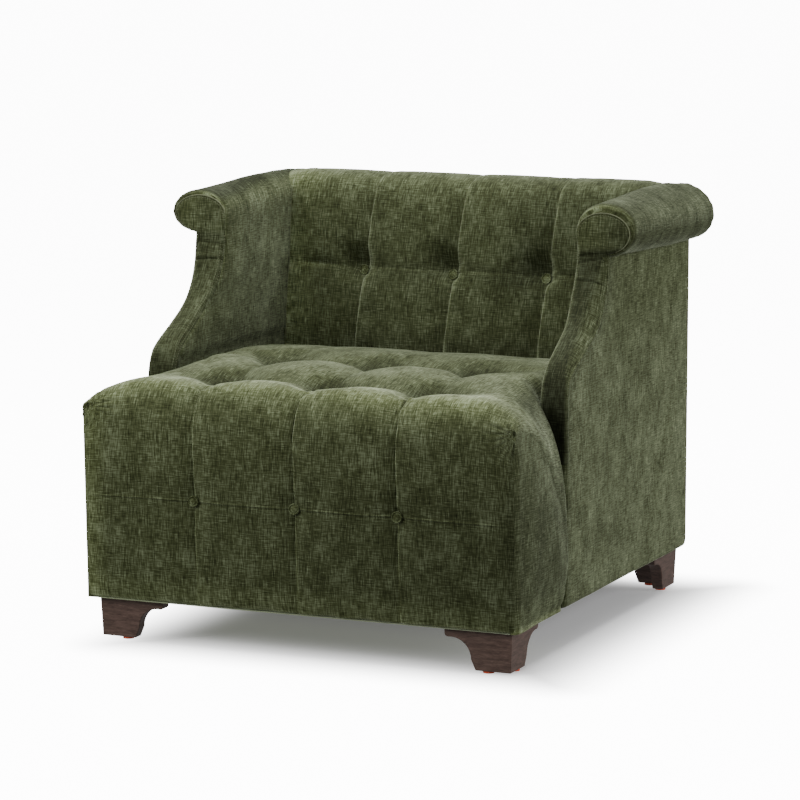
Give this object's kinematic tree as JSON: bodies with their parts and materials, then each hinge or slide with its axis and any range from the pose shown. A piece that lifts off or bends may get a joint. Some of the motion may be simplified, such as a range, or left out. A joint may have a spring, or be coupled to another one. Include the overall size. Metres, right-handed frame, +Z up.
{
  "type": "armchair",
  "caption": "Low upholstered armchair with a tufted seat block, tufted back, S-fronted arms with rolled tops and dark bracket feet",
  "frame": {"origin": "middle of the footprint on the floor, under the glides", "axes": "+X to the right as seen from the front, +Y from front to back, +Z up"},
  "size_m": [0.91, 0.8862, 0.7737],
  "materials": {
    "velvet": "olive green chenille velvet with a fine slubbed crosshatch",
    "dark_wood": "espresso stained hardwood, satin lacquer",
    "glide_plastic": "orange-red moulded plastic",
    "steel": "zinc plated",
    "plywood": "bare birch plywood",
    "frame_wood": "bare hardwood",
    "webbing": "woven elastic webbing",
    "lining_cloth": "black non-woven lining",
    "foam": "open-cell upholstery foam"
  },
  "bodies": {
    "root": {"arm_facing_left": "velvet", "arm_facing_right": "velvet", "arm_roll_rail_left": "frame_wood", "arm_roll_rail_right": "frame_wood", "arm_scroll_board_left": "plywood", "arm_scroll_board_right": "plywood", "back_buttons": "velvet", "back_foam": "foam", "back_tack_rail": "frame_wood", "back_top_rail": "frame_wood", "back_tufted_cover": "velvet", "back_webbing": "webbing", "base_rail_back": "frame_wood", "base_rail_front": "frame_wood", "corner_blocks": "frame_wood", "dust_cover": "lining_cloth", "foot_front_left": "dark_wood", "foot_front_right": "dark_wood", "foot_glides": "glide_plastic", "foot_glue_blocks": "dark_wood", "foot_rear_left": "dark_wood", "foot_rear_right": "dark_wood", "foot_screws": "steel", "front_border_foam": "foam", "inside_arm_cover_left": "velvet", "inside_arm_cover_right": "velvet", "outside_arm_panel_left": "velvet", "outside_arm_panel_right": "velvet", "outside_back_panel": "velvet", "seat_buttons": "velvet", "seat_deck_cloth": "lining_cloth", "seat_foam_core": "foam", "seat_rail_back": "frame_wood", "seat_rail_front": "frame_wood", "seat_rail_left": "frame_wood", "seat_rail_right": "frame_wood", "seat_tufted_cover": "velvet", "seat_webbing_cross": "webbing", "seat_webbing_long": "webbing", "side_frame_left": "plywood", "side_frame_right": "plywood"}
  },
  "joints": []
}
